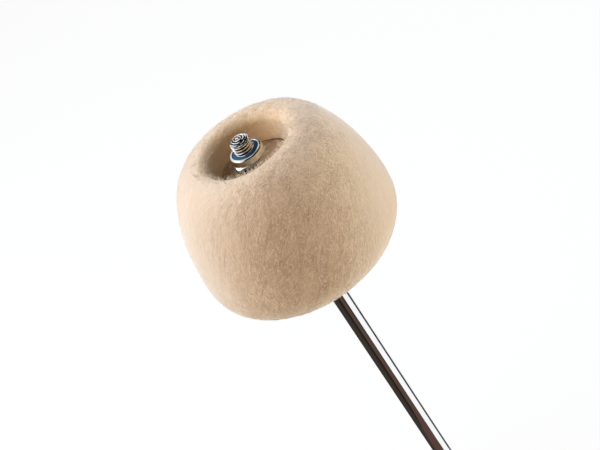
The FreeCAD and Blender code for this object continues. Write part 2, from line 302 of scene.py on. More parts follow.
rod_chrome = plated_finish("rod_chrome", {
    "Bright": (0.97, 0.97, 0.98, 1.0), "Dull": (0.90, 0.90, 0.90, 1.0),
    "Polish": 0.05, "Haze": 0.11, "Smudge Scale": 120.0, "Line Scale": 3200.0}, 0.05, 0.01 * mm)
rod_tree = rod_chrome.node_tree
rod_shader = rod_tree.nodes["Principled BSDF"]
clean_colour = rod_shader.inputs["Base Color"].links[0].from_socket
# Painted shade: the colour darkens to near black where the thread's grooves are deepest.
root_shade_depth = add_node(rod_tree, "ShaderNodeAttribute", attribute_name="root_shade")
root_shade_range = (0.35, 0.85)
root_shade_colour = (0.022, 0.019, 0.016, 1.0)
root_shade_share = eased(rod_tree, root_shade_depth.outputs["Fac"], *root_shade_range, 0.0, 1.0)
root_shaded_colour = blended(rod_tree, root_shade_share, clean_colour, root_shade_colour)
rod_tree.links.new(root_shaded_colour, rod_shader.inputs["Base Color"])
rod.data.materials.append(rod_chrome)
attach(rod, "rod_set")
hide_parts("shaft")

# Lower nut: a plain hexagon nut of zinc-plated steel, cold formed with both faces bevelled.
# It is screwed down the thread as the stop that the spring washer and the head rest on.
zinc_plate = plated_finish("zinc_plate", {
    "Bright": (0.80, 0.79, 0.76, 1.0), "Dull": (0.62, 0.60, 0.56, 1.0),
    "Polish": 0.08, "Haze": 0.20, "Smudge Scale": 260.0, "Line Scale": 6000.0}, 0.12, 0.012 * mm)
nut_half_width = 7.0 * mm
nut_bore = 4.0 * mm
nut_countersink = 0.6 * mm
nut_face_inset = 0.7 * mm
nut_bevel_slope = math.tan(math.radians(30.0))
nut_side_degrees = 60.0
nut_side_turn = math.radians(nut_side_degrees)
nut_half_side = math.radians(0.5 * nut_side_degrees)
nut_sharp_degrees = 20.0
nut_corner_round = 0.35 * mm
nut_flat_steps = 10
nut_corner_steps = 4


def nut_turns(heading_degrees):
    """Angles round a hexagon nut, close together at its six rounded corners."""
    reach = (nut_half_width - nut_corner_round) / math.cos(nut_half_side)
    half_corner = math.atan2(nut_corner_round * 0.5, reach + nut_corner_round * math.cos(nut_half_side))
    turns = []
    for corner in range(6):
        middle = math.radians(heading_degrees + nut_side_degrees * corner)
        turns.extend(middle + half_corner * np.linspace(-1.0, 1.0, nut_corner_steps, endpoint=False))
        flat_span = nut_side_turn - 2.0 * half_corner
        flat_shares = np.linspace(0.0, 1.0, nut_flat_steps, endpoint=False)
        turns.extend(middle + half_corner + flat_span * flat_shares)
    return turns


def nut_reach(turn, heading_degrees):
    """How far a hexagon nut's side lies from its axis in one direction."""
    off = (turn - math.radians(heading_degrees) + nut_half_side) % nut_side_turn - nut_half_side
    to_flat = nut_half_width / math.cos(nut_half_side - abs(off))
    centre = (nut_half_width - nut_corner_round) / math.cos(nut_half_side)
    inside = nut_corner_round ** 2 - (centre * math.sin(off)) ** 2
    if inside <= 0.0:
        return to_flat
    return min(to_flat, centre * math.cos(off) + math.sqrt(inside))


def nut_rows(heading_degrees, foot, shoulder, shoulder_radius, crown):
    """Rows of a hexagon nut, from its bore's foot out round the hexagon and over its crown."""
    face_radius = nut_half_width - nut_face_inset
    rows = []
    for turn in nut_turns(heading_degrees):
        reach = nut_reach(turn, heading_degrees)
        low_bevel = foot + (reach - face_radius) * nut_bevel_slope
        high_bevel = shoulder - max(reach - shoulder_radius, 0.0) * nut_bevel_slope
        side = [(nut_bore, foot + nut_countersink), (nut_bore + nut_countersink, foot), (face_radius, foot),
                (reach, low_bevel), (reach, high_bevel), (shoulder_radius, shoulder)] + crown
        rows.append([(radius * math.cos(turn), radius * math.sin(turn), height) for radius, height in side])
    return np.array(rows).transpose(1, 0, 2)


lower_nut_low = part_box("lower_nut")[0].z
lower_nut_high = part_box("lower_nut")[1].z
lower_nut_heading = 0.0
lower_nut_crown = [(nut_bore + nut_countersink, lower_nut_high),
                   (nut_bore, lower_nut_high - nut_countersink)]
lower_nut = skin("stop_nut", [(nut_rows(lower_nut_heading, lower_nut_low, lower_nut_high,
                                        nut_half_width - nut_face_inset, lower_nut_crown), 0, True)],
                 nut_sharp_degrees)
lower_nut.data.materials.append(zinc_plate)
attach(lower_nut, "rod_set")
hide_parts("lower_nut")

# Spring washer: one turn of square spring wire, cut on a slant and plated. The nut
# presses it almost flat, and its sharp ends keep the stack from working loose.
spring_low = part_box("spring_washer")[0].z
spring_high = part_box("spring_washer")[1].z
spring_bore = 4.15 * mm
spring_reach = 7.4 * mm
spring_edge = 0.3 * mm
spring_slit = 1.0 * mm
spring_slant = 0.8 * mm
spring_steps = 90
edge_steps = 4


def rounded_outline(corners, radius):
    """Rounds each corner of a closed outline of (radius, height) pairs."""
    outline = []
    for at, corner in enumerate(corners):
        corner = np.array(corner)
        towards = [np.array(corners[at - 1]) - corner, np.array(corners[(at + 1) % len(corners)]) - corner]
        towards = [side / np.linalg.norm(side) for side in towards]
        centre = corner + radius * (towards[0] + towards[1])
        for share in np.linspace(0.0, 0.5 * math.pi, edge_steps):
            inward = math.cos(share) * towards[1] + math.sin(share) * towards[0]
            outline.append(tuple(centre - radius * inward))
    return outline


spring_outline = rounded_outline([(spring_bore, spring_low), (spring_reach, spring_low),
                                  (spring_reach, spring_high), (spring_bore, spring_high)], spring_edge)
spring_rows = []
for share in np.linspace(0.0, 1.0, spring_steps):
    section = []
    for radius, height in spring_outline:
        lift = (height - spring_low) / (spring_high - spring_low) - 0.5
        start = (0.5 * spring_slit + spring_slant * lift) / radius
        stop = 2.0 * math.pi - (0.5 * spring_slit - spring_slant * lift) / radius
        turn = start + share * (stop - start)
        section.append((radius * math.cos(turn), radius * math.sin(turn), height))
    spring_rows.append(section)
spring_ends = [np.repeat(np.mean(spring_rows[end], axis=0, keepdims=True), len(spring_outline), axis=0)
               for end in (0, -1)]
spring_washer = skin("split_washer", [(np.array([spring_ends[0], *spring_rows, spring_ends[1]]), 0, False)])
spring_washer.data.materials.append(zinc_plate)
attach(spring_washer, "rod_set")
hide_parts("spring_washer")

# Lower washer: a plated steel washer, stamped from sheet, so its edges are slightly rolled.
# It spreads the spring washer's pressure over the felt's underside.
lower_washer_reach = 15.0 * mm
washer_bore = 4.2 * mm
washer_edge = 0.4 * mm
washer_steps = 96
stamped_surface = {"Polish": 0.16, "Haze": 0.32, "Smudge Scale": 300.0, "Line Scale": 3000.0}
stamped_bump = (0.20, 0.02 * mm)
stamped_zinc = plated_finish("stamped_zinc", {
    "Bright": (0.74, 0.72, 0.70, 1.0), "Dull": (0.53, 0.51, 0.49, 1.0), **stamped_surface}, *stamped_bump)


def make_washer(name, node, reach, finish):
    """A stamped washer in the place of a CAD node."""
    low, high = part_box(node)
    outline = rounded_outline([(washer_bore, low.z), (reach, low.z),
                               (reach, high.z), (washer_bore, high.z)], washer_edge)
    washer = skin(name, [(turned_rows(outline, washer_steps), 0, True)])
    washer.data.materials.append(finish)
    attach(washer, "rod_set")
    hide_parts(node)


make_washer("lower_plate_washer", "lower_washer", lower_washer_reach, stamped_zinc)

# Head: a block of hard-pressed wool felt, turned on a lathe to a barrel with a domed crown and a
# bored recess for the nut. Being soft, it leans a little, is fuller on one flank and has a pressed
# lip. Its front and back are brushed rough, and its flanks and the recess's wall are smooth.
head_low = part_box("felt_head")[0].z
nap_rise = 0.1 * mm
recess_depth = 14.2 * mm
recess_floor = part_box("felt_head")[1].z - recess_depth
head_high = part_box("felt_head")[1].z - 2.0 * nap_rise
head_reach = 42.3 * mm - nap_rise
head_bore = 4.05 * mm
belly_height = 14.4 * mm
corner_fill = 0.8 * mm
recess_radius = 17.5 * mm
lip_round = 4.2 * mm
head_steps = 420
flat_step = 1.2 * mm
wall_step = 0.6 * mm
corner_points = 38
crown_points = 92
lip_points = 18
felt_sharp_degrees = 60.0
washer_clearance = 16.5 * mm
swell_ease = 3.0 * mm
head_lean = 0.020
fuller_by = 0.8 * mm
fuller_height = 19.0 * mm
fuller_spread = 13.0 * mm
lip_presses = ((1.3 * mm, 165.0), (-0.7 * mm, 245.0))
lip_press_fade = 4.5 * mm
lip_press_foot = 3.0 * mm
lip_press_focus = 3
lump_sizes = ((14.0 * mm, 0.16 * mm), (5.0 * mm, 0.07 * mm), (1.8 * mm, 0.08 * mm))
crest_radius = recess_radius + lip_round
belly = head_low + belly_height


def straight(start, stop, step):
    """Points from start to stop, about a step apart."""
    count = max(int(math.dist(start, stop) / step), 1)
    return np.linspace(start, stop, count, endpoint=False)


def quarter_arc(centre, reach_out, reach_up, start_degrees, stop_degrees, count):
    """Points on a quarter of an ellipse in the head's outline."""
    turn = np.radians(np.linspace(start_degrees, stop_degrees, count, endpoint=False))
    return np.stack([centre[0] + reach_out * np.cos(turn), centre[1] + reach_up * np.sin(turn)], 1)


corner_centre = (head_reach - belly_height + corner_fill, belly)
crown_centre = (crest_radius, belly)
lip_centre = (crest_radius, head_high - lip_round)
head_outline = np.concatenate([
    straight((head_bore, head_low), (corner_centre[0], head_low), flat_step),
    quarter_arc(corner_centre, belly_height - corner_fill, belly_height, -90.0, 0.0, corner_points),
    quarter_arc(crown_centre, head_reach - crest_radius, head_high - belly, 0.0, 90.0, crown_points),
    quarter_arc(lip_centre, lip_round, lip_round, 90.0, 180.0, lip_points),
    straight((recess_radius, head_high - lip_round), (recess_radius, recess_floor), wall_step),
    straight((recess_radius, recess_floor), (head_bore, recess_floor), flat_step),
    [(head_bore, recess_floor)]])


def felt_swell(place):
    """How far the felt's surface swells or sinks at a place, from its uneven wool."""
    from_fuller = (Vector(place) - Vector((head_reach, 0.0, head_low + fuller_height))).length
    return (fuller_by * math.exp(-(from_fuller / fuller_spread) ** 2)
            + sum(depth * noise.noise(Vector(place) / size) for size, depth in lump_sizes))


along = np.gradient(head_outline, axis=0)
outward = np.stack([along[:, 1], -along[:, 0]], 1)
outward /= np.linalg.norm(outward, axis=1, keepdims=True)
clear_of_washers = np.clip((head_outline[:, 0] - washer_clearance) / swell_ease, 0.0, 1.0)
head_rows = turned_rows(head_outline, head_steps)
head_middle = 0.5 * (head_low + head_high)
above_floor = head_outline[:, 1] - recess_floor - lip_press_foot
above_floor = np.clip(above_floor / (recess_depth - lip_press_foot), 0.0, 1.0)
near_wall = np.clip(1.0 - (head_outline[:, 0] - crest_radius) / lip_press_fade, 0.0, 1.0)
pressed_rows = near_wall * near_wall * (3.0 - 2.0 * near_wall) * np.sqrt(above_floor)
for row, ring in enumerate(head_rows):
    if clear_of_washers[row] == 0.0:
        continue
    for step, place in enumerate(ring):
        turn = 2.0 * math.pi * step / head_steps
        swell = felt_swell(place) * clear_of_washers[row]
        press = sum(depth * (0.5 + 0.5 * math.cos(turn - math.radians(at))) ** lip_press_focus
                    for depth, at in lip_presses)
        out = outward[row][0] * swell - pressed_rows[row] * press
        place[0] += out * math.cos(turn) + head_lean * (place[2] - head_middle) * clear_of_washers[row]
        place[1] += out * math.sin(turn)
        place[2] += outward[row][1] * swell
felt_head = skin("felt_body", [(head_rows, 0, True)], felt_sharp_degrees)

# The wool's colour: random patches, clouds and strands, with painted light and shade on the flanks and in
# the recess.
wool_mottle_and_shade, wool_in, wool_out = new_group(
    "wool_mottle_and_shade", "ShaderNodeTree",
    {"Place": ("NodeSocketVector", None),
     "Pale": ("NodeSocketColor", (0.7, 0.6, 0.5, 1.0)),
     "Straw": ("NodeSocketColor", (0.7, 0.6, 0.4, 1.0)),
     "Deep": ("NodeSocketColor", (0.6, 0.5, 0.4, 1.0)),
     "Strand": ("NodeSocketColor", (0.9, 0.8, 0.7, 1.0)),
     "Lit Flank": ("NodeSocketColor", (0.7, 0.6, 0.5, 1.0)),
     "Brush Turn": ("NodeSocketVector", None),
     "Brush Stretch": ("NodeSocketVector", (1.0, 1.0, 1.0)),
     "Rough Middle": ("NodeSocketFloat", 0.0),
     "Flank Reach": ("NodeSocketFloat", 0.02),
     "Flank Fade": ("NodeSocketFloat", 0.01),
     "Rough Lean": ("NodeSocketFloat", 0.0),
     "Raw": ("NodeSocketColor", (1.0, 0.9, 0.8, 1.0)),
     "Recess Floor Light Tint": ("NodeSocketColor", (1.0, 0.9, 0.8, 1.0)),
     "Recess Reach": ("NodeSocketFloat", 0.018),
     "Recess Top": ("NodeSocketFloat", 0.2),
     "Recess Height": ("NodeSocketFloat", 0.2),
     "Fleck Scale": ("NodeSocketFloat", 900.0),
     "Strand Scale": ("NodeSocketFloat", 500.0),
     "Patch Scale": ("NodeSocketFloat", 200.0),
     "Cloud Scale": ("NodeSocketFloat", 160.0)},
    {"Color": "NodeSocketColor", "Height": "NodeSocketFloat"})
brushed = add_node(wool_mottle_and_shade, "ShaderNodeMapping",
                   {"Vector": wool_in.outputs["Place"], "Rotation": wool_in.outputs["Brush Turn"],
                    "Scale": wool_in.outputs["Brush Stretch"]}, vector_type="TEXTURE")
flecks = add_node(wool_mottle_and_shade, "ShaderNodeTexNoise",
                  {"Vector": brushed.outputs["Vector"], "Scale": wool_in.outputs["Fleck Scale"],
                   "Detail": 3.0, "Roughness": 0.65, "Distortion": 1.0})
clouds = add_node(wool_mottle_and_shade, "ShaderNodeTexNoise",
                  {"Vector": wool_in.outputs["Place"], "Scale": wool_in.outputs["Cloud Scale"],
                   "Detail": 3.0, "Roughness": 0.55})
strands = add_node(wool_mottle_and_shade, "ShaderNodeTexNoise",
                   {"Vector": brushed.outputs["Vector"], "Scale": wool_in.outputs["Strand Scale"],
                    "Detail": 3.0, "Roughness": 0.7, "Distortion": 0.8})
patches = add_node(wool_mottle_and_shade, "ShaderNodeTexNoise",
                   {"Vector": brushed.outputs["Vector"], "Scale": wool_in.outputs["Patch Scale"],
                    "Detail": 4.0, "Roughness": 0.65})
strand_width = 0.045
patch_range = (0.36, 0.64)
cloud_range = (0.30, 0.70)
flank_most = 0.85
cut_share = 0.8
recess_fade = 2.5 * mm
off_middle = worked_out(wool_mottle_and_shade, "SUBTRACT", strands.outputs["Fac"], 0.5)
off_strand = worked_out(wool_mottle_and_shade, "ABSOLUTE", off_middle)
strand = eased(wool_mottle_and_shade, off_strand, 0.0, strand_width, 1.0, 0.0)
patch = eased(wool_mottle_and_shade, patches.outputs["Fac"], *patch_range, 0.0, 1.0)
cloud = eased(wool_mottle_and_shade, clouds.outputs["Fac"], *cloud_range, 0.0, 1.0)
fibre_colour = blended(wool_mottle_and_shade, cloud, wool_in.outputs["Pale"], wool_in.outputs["Straw"])
ground_colour = blended(wool_mottle_and_shade, patch, wool_in.outputs["Deep"], fibre_colour)
rough_colour = blended(wool_mottle_and_shade, strand, ground_colour, wool_in.outputs["Strand"])
wool_axes = add_node(wool_mottle_and_shade, "ShaderNodeSeparateXYZ", {0: wool_in.outputs["Place"]})
leaning = worked_out(wool_mottle_and_shade, "MULTIPLY_ADD", wool_axes.outputs["Z"], wool_in.outputs["Rough Lean"],
                     wool_in.outputs["Rough Middle"])
off_rough = worked_out(wool_mottle_and_shade, "SUBTRACT", wool_axes.outputs["X"], leaning)
sideways = worked_out(wool_mottle_and_shade, "ABSOLUTE", off_rough)
past_front = worked_out(wool_mottle_and_shade, "SUBTRACT", sideways, wool_in.outputs["Flank Reach"])
smooth_lit_flank = eased(wool_mottle_and_shade, past_front, 0.0, wool_in.outputs["Flank Fade"], 0.0, flank_most)
wool_flat = add_node(wool_mottle_and_shade, "ShaderNodeCombineXYZ", {
    "X": wool_axes.outputs["X"], "Y": wool_axes.outputs["Y"]})
wool_spread = add_node(wool_mottle_and_shade, "ShaderNodeVectorMath", {0: wool_flat.outputs[0]}, operation="LENGTH")
past_wall = worked_out(wool_mottle_and_shade, "SUBTRACT", wool_spread.outputs["Value"], wool_in.outputs["Recess Reach"])
over_floor = worked_out(wool_mottle_and_shade, "GREATER_THAN", wool_axes.outputs["Z"], wool_in.outputs["Recess Height"])
within_wall = eased(wool_mottle_and_shade, past_wall, 0.0, recess_fade, 1.0, 0.0)
in_recess = worked_out(wool_mottle_and_shade, "MULTIPLY", within_wall, over_floor)
cut_flat = eased(wool_mottle_and_shade, in_recess, 0.0, 1.0, 0.0, cut_share)
# Painted light and shade: the flanks, which face the side lamps, take the paler, cooler flank colour, and
# the rough front and back a warmer, darker one.
smooth_lit_share = worked_out(wool_mottle_and_shade, "MAXIMUM", smooth_lit_flank, cut_flat)
wool_colour = blended(wool_mottle_and_shade, smooth_lit_share, rough_colour, wool_in.outputs["Lit Flank"])
# Painted light and shade in the recess: its colour is multiplied by a tint that warms and darkens it a
# little near the lip and lightens it more and more towards the floor.
down_recess = eased(wool_mottle_and_shade, wool_axes.outputs["Z"], wool_in.outputs["Recess Height"],
                    wool_in.outputs["Recess Top"], 1.0, 0.0)
recess_light_and_shade = blended(wool_mottle_and_shade, down_recess, wool_in.outputs["Raw"], wool_in.outputs["Recess Floor Light Tint"])
recess_painted_colour = add_node(wool_mottle_and_shade, "ShaderNodeMix", {0: in_recess, 6: wool_colour, 7: recess_light_and_shade},
                      data_type="RGBA", blend_type="MULTIPLY")
wool_mottle_and_shade.links.new(recess_painted_colour.outputs[2], wool_out.inputs["Color"])
wool_mottle_and_shade.links.new(flecks.outputs["Fac"], wool_out.inputs["Height"])


def wool_finish(name, sheen):
    """Matt wool with a soft sheen. Its colour is linked to the shader later."""
    finish, tree, shader = new_finish(name)
    shader.inputs["Roughness"].default_value = 0.95
    shader.inputs["Specular IOR Level"].default_value = 0.15
    shader.inputs["Sheen Weight"].default_value = sheen
    shader.inputs["Sheen Roughness"].default_value = 0.45
    shader.inputs["Sheen Tint"].default_value = (1.0, 0.95, 0.88, 1.0)
    return finish, tree, shader


wool_felt, felt_tree, felt_shader = wool_finish("wool_felt", 0.65)
felt_place = add_node(felt_tree, "ShaderNodeTexCoord")
felt_mottle_and_shade = add_node(felt_tree, "ShaderNodeGroup", node_tree=wool_mottle_and_shade)
felt_tree.links.new(felt_place.outputs["Object"], felt_mottle_and_shade.inputs["Place"])
brush_turn = math.radians(33.0)
brush_stretch = 2.8
rough_lean = 0.6
rough_offset = -9.0 * mm
rough_height = 22.0 * mm
rough_middle = rough_offset - rough_lean * (head_low + rough_height)
flank_reach = 15.0 * mm
flank_fade = 24.0 * mm
recess_margin = 0.3 * mm
recess_sink = 2.0 * mm
felt_settings = {
    "Pale": (0.648, 0.446, 0.293, 1.0), "Straw": (0.630, 0.460, 0.275, 1.0),
    "Deep": (0.494, 0.330, 0.203, 1.0), "Strand": (0.815, 0.612, 0.428, 1.0),
    # The flank colour is painted light: paler and cooler than the front's.
    "Lit Flank": (0.622, 0.470, 0.338, 1.0),
    "Brush Turn": (0.0, brush_turn, 0.0), "Brush Stretch": (1.0, 1.0, brush_stretch),
    "Rough Middle": rough_middle, "Rough Lean": rough_lean,
    "Flank Reach": flank_reach, "Flank Fade": flank_fade,
    # The recess's tints are painted: warmer near the lip, and lighter towards the floor.
    "Raw": (0.98, 0.90, 0.74, 1.0), "Recess Floor Light Tint": (1.44, 1.34, 1.10, 1.0),
    "Recess Reach": recess_radius + recess_margin, "Recess Top": head_high, "Recess Height": recess_floor - recess_sink,
    "Fleck Scale": 640.0, "Strand Scale": 700.0, "Patch Scale": 190.0, "Cloud Scale": 300.0}
for socket, setting in felt_settings.items():
    felt_mottle_and_shade.inputs[socket].default_value = setting
felt_bump = add_node(felt_tree, "ShaderNodeBump", {"Height": felt_mottle_and_shade.outputs["Height"], "Strength": 1.0,
                                                   "Distance": 0.35 * mm})
felt_tree.links.new(felt_mottle_and_shade.outputs["Color"], felt_shader.inputs["Base Color"])
felt_tree.links.new(felt_bump.outputs["Normal"], felt_shader.inputs["Normal"])
felt_head.data.materials.append(wool_felt)
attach(felt_head, "head")
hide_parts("felt_head")

# Nap: the loose wool fibres that lie on the head's rough parts, and the fringe that stands along
# the near side of the recess's lip. Each is one short bent hair, scattered and turned at random.
wool_nap, nap_finish_tree, nap_shader = wool_finish("wool_nap", 0.4)
hair_shade = add_node(nap_finish_tree, "ShaderNodeAttribute", attribute_name="shade")
hair_dark = (0.74, 0.55, 0.37, 1.0)
hair_pale = (0.88, 0.70, 0.50, 1.0)
hair_colour = blended(nap_finish_tree, hair_shade.outputs["Fac"], hair_dark, hair_pale)
nap_finish_tree.links.new(hair_colour, nap_shader.inputs["Base Color"])
hair_width = 0.05 * mm
hair_sides = 3
hair_sharp_degrees = 180.0
hair_outline = ((1.0, -0.06, 0.0), (0.9, 0.35, 0.12), (0.6, 0.72, 0.10), (0.0, 1.0, -0.10))
hair_rows = []
for thickness, height, bend in hair_outline:
    ring = round_points(0.5 * hair_width * thickness, height * mm, hair_sides)
    ring[:, 0] += bend * mm
    hair_rows.append(ring)
hair_rows.insert(0, np.repeat(hair_rows[0].mean(axis=0, keepdims=True), hair_sides, axis=0))
hair = skin("hair", [(np.array(hair_rows), 0, False)], hair_sharp_degrees)

nap_tree, nap_in, nap_out = new_group(
    "nap", "GeometryNodeTree",
    {"Felt": ("NodeSocketGeometry", None),
     "Hair": ("NodeSocketObject", None),
     "Hairs per Square Metre": ("NodeSocketFloat", 1.0),
     "Shortest": ("NodeSocketFloat", 0.5),
     "Longest": ("NodeSocketFloat", 1.0),
     "Thickness": ("NodeSocketFloat", 1.0),
     "Least Lean": ("NodeSocketFloat", 0.0),
     "Most Lean": ("NodeSocketFloat", 1.0),
     "Darkest": ("NodeSocketFloat", 0.0),
     "Seed": ("NodeSocketInt", 0),
     "Finish": ("NodeSocketMaterial", None)},
    {"Nap": "NodeSocketGeometry"})
nap_weight = add_node(nap_tree, "GeometryNodeInputNamedAttribute", {"Name": "nap"}, data_type="FLOAT")
nap_density = worked_out(nap_tree, "MULTIPLY", nap_weight.outputs[0],
                         nap_in.outputs["Hairs per Square Metre"])
roots = add_node(nap_tree, "GeometryNodeDistributePointsOnFaces", {
    "Mesh": nap_in.outputs["Felt"], "Density": nap_density, "Seed": nap_in.outputs["Seed"]})
upright = add_node(nap_tree, "FunctionNodeAlignRotationToVector", {
    "Vector": roots.outputs["Normal"]}, axis="Z")
least_turn = add_node(nap_tree, "ShaderNodeCombineXYZ", {"X": nap_in.outputs["Least Lean"]})
most_turn = add_node(nap_tree, "ShaderNodeCombineXYZ", {
    "X": nap_in.outputs["Most Lean"], "Z": 2.0 * math.pi})
lay = add_node(nap_tree, "FunctionNodeRandomValue", {
    0: least_turn.outputs[0], 1: most_turn.outputs[0], "Seed": nap_in.outputs["Seed"]},
    data_type="FLOAT_VECTOR")
lay_turn = add_node(nap_tree, "FunctionNodeEulerToRotation", {0: lay.outputs[0]})
laid = add_node(nap_tree, "FunctionNodeRotateRotation", {0: upright.outputs[0], 1: lay_turn.outputs[0]},
                rotation_space="LOCAL")
hair_length = add_node(nap_tree, "FunctionNodeRandomValue", {
    2: nap_in.outputs["Shortest"], 3: nap_in.outputs["Longest"], "Seed": nap_in.outputs["Seed"]},
    data_type="FLOAT")
hair_size = add_node(nap_tree, "ShaderNodeCombineXYZ", {
    "X": nap_in.outputs["Thickness"], "Y": nap_in.outputs["Thickness"], "Z": hair_length.outputs[1]})
hair_shape = add_node(nap_tree, "GeometryNodeObjectInfo", {"Object": nap_in.outputs["Hair"]})
planted = add_node(nap_tree, "GeometryNodeInstanceOnPoints",
                   {"Points": roots.outputs["Points"], "Instance": hair_shape.outputs["Geometry"],
                    "Rotation": laid.outputs[0], "Scale": hair_size.outputs[0]})
own_shade = add_node(nap_tree, "FunctionNodeRandomValue", {
    2: nap_in.outputs["Darkest"], 3: 1.0, "Seed": nap_in.outputs["Seed"]}, data_type="FLOAT")
shaded = add_node(nap_tree, "GeometryNodeStoreNamedAttribute",
                  {"Geometry": planted.outputs[0], "Name": "shade", "Value": own_shade.outputs[1]},
                  domain="INSTANCE", data_type="FLOAT")
real_hairs = add_node(nap_tree, "GeometryNodeRealizeInstances", {0: shaded.outputs[0]})
finished = add_node(nap_tree, "GeometryNodeSetMaterial", {"Geometry": real_hairs.outputs[0],
                                                          "Material": nap_in.outputs["Finish"]})
nap_tree.links.new(finished.outputs[0], nap_out.inputs["Nap"])


def grow_nap(name, weights, values):
    """Plants one layer of hairs on a copy of the felt and keeps the result as a plain mesh."""
    ground = placed(name + "_ground", felt_head.data.copy())
    density = ground.data.attributes.new("nap", "FLOAT", "POINT")
    density.data.foreach_set("value", weights)
    planting = ground.modifiers.new("nap", "NODES")
    planting.node_group = nap_tree
    for socket in nap_tree.interface.items_tree:
        if socket.in_out == "INPUT" and socket.name in values:
            planting[socket.identifier] = values[socket.name]
    bpy.context.view_layer.update()
    grown = ground.evaluated_get(bpy.context.evaluated_depsgraph_get())
    mesh = bpy.data.meshes.new_from_object(grown)
    mesh.name = name
    bpy.data.objects.remove(ground)
    nap = placed(name, mesh)
    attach(nap, "head")


felt_points = np.empty(len(felt_head.data.vertices) * 3)
felt_head.data.vertices.foreach_get("co", felt_points)
felt_points = felt_points.reshape(-1, 3)
felt_x, felt_y, felt_z = felt_points.T
felt_spread = np.hypot(felt_x, felt_y)
underside_depth = 0.3 * mm
bare_underside = 16.5 * mm
bare_recess = 17.0 * mm
nap_fade = 0.5 * flank_fade
on_underside = felt_z < head_low + underside_depth
all_over = np.where(on_underside, felt_spread > bare_underside, felt_spread > bare_recess).astype(float)
off_rough_band = np.abs(felt_x - rough_lean * felt_z - rough_middle)
all_over *= 1.0 - np.clip((off_rough_band - flank_reach) / nap_fade, 0.0, 1.0)
fringe_depth = 0.9 * lip_round
fringe_thins = (0.35, 0.94)
fringe_fade = 8.0 * mm
fringe_middle = 0.5
fringe_least = 0.12
clump_size = 0.7 * mm
clump_base = 0.45
clump_contrast = 2.2
near_lip = ((felt_spread < crest_radius) & (felt_z > head_high - fringe_depth)).astype(float)
clumps = [clump_base + clump_contrast * noise.noise(Vector(place) / clump_size) for place in felt_points]
near_lip *= np.clip(clumps, 0.0, 1.0)
far_side = (fringe_thins[0] * felt_x + fringe_thins[1] * felt_y) / fringe_fade
near_lip *= np.clip(fringe_middle - far_side, fringe_least, 1.0)
coat_values = {
    "Hair": hair, "Finish": wool_nap, "Hairs per Square Metre": 2.5e5, "Shortest": 0.6, "Longest": 1.8,
    "Thickness": 2.0, "Least Lean": math.radians(70.0), "Most Lean": math.radians(90.0)}
fringe_values = {
    "Hair": hair, "Finish": wool_nap, "Hairs per Square Metre": 2.3e6, "Shortest": 0.8, "Longest": 2.5,
    "Thickness": 2.6, "Least Lean": 0.0, "Most Lean": math.radians(35.0), "Darkest": 0.7, "Seed": 31}
coat_layers = 3
coat_seed = 11
for layer in range(coat_layers):
    grow_nap(f"felt_nap_{layer + 1}", all_over, {**coat_values, "Seed": coat_seed + layer})
grow_nap("felt_nap_lip", near_lip, fringe_values)
bpy.data.objects.remove(hair)

# Upper washer: the lower washer's wider twin, stamped from plated steel, which almost fills the
# recess. The lock nut presses it on the recess's floor. Painted shade darkens its rim and one side.
upper_washer_reach = 16.7 * mm
rim_width = 0.6 * mm
# Painted shade: the rim darkens where it meets the recess's wall, and the near-left side darkens under the
# lip.
recess_zinc = plated_finish("recess_zinc", {
    "Bright": (0.72, 0.70, 0.71, 1.0), "Dull": (0.42, 0.40, 0.41, 1.0), "Rim Shade": (0.10, 0.075, 0.06, 1.0),
    "Rim Middle": (-0.6 * mm, -0.3 * mm, 0.0),
    "Rim Start": upper_washer_reach - rim_width, "Rim Stop": upper_washer_reach,
    "Shade Way": (-0.85, -0.53, 0.0), "Shade Start": 4.0 * mm, "Shade Stop": 12.0 * mm,
    **stamped_surface}, *stamped_bump)
make_washer("upper_plate_washer", "upper_washer", upper_washer_reach, recess_zinc)

# Lock nut: a hexagon nut of plated steel with a thin collar on top. The collar is rolled
# in over a nylon ring, which grips the thread so that the nut can't shake loose.
lock_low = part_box("lock_nut")[0].z
lock_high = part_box("lock_nut")[1].z
lock_heading = 37.0
collar_height = 3.1 * mm
collar_radius = 6.9 * mm
collar_round = 0.9 * mm
collar_mouth = 5.6 * mm
lip_thickness = 0.4 * mm
seat_radius = 6.0 * mm
seat_depth = 2.82 * mm
lock_shoulder = lock_high - collar_height
collar_steps = 9
collar_fillet = 0.1 * mm
lock_crown = [(collar_radius, lock_shoulder + collar_fillet)]
for turn in np.radians(np.linspace(0.0, 90.0, collar_steps)):
    lock_crown.append((collar_radius - collar_round + collar_round * math.cos(turn),
                       lock_high - collar_round + collar_round * math.sin(turn)))
for turn in np.radians(np.linspace(90.0, 180.0, collar_steps)):
    lock_crown.append((collar_mouth + 0.5 * lip_thickness + 0.5 * lip_thickness * math.cos(turn),
                       lock_high - 0.5 * lip_thickness + 0.5 * lip_thickness * math.sin(turn)))
lock_crown += [(collar_mouth, lock_high - lip_thickness), (seat_radius, lock_high - lip_thickness),
               (seat_radius, lock_high - seat_depth), (nut_bore, lock_high - seat_depth)]
lock_nut = skin("self_locking_nut", [(nut_rows(lock_heading, lock_low, lock_shoulder,
                                               collar_radius + collar_fillet, lock_crown), 0, True)],
                nut_sharp_degrees)
lock_nut.data.materials.append(zinc_plate)
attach(lock_nut, "nut")
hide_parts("lock_nut")

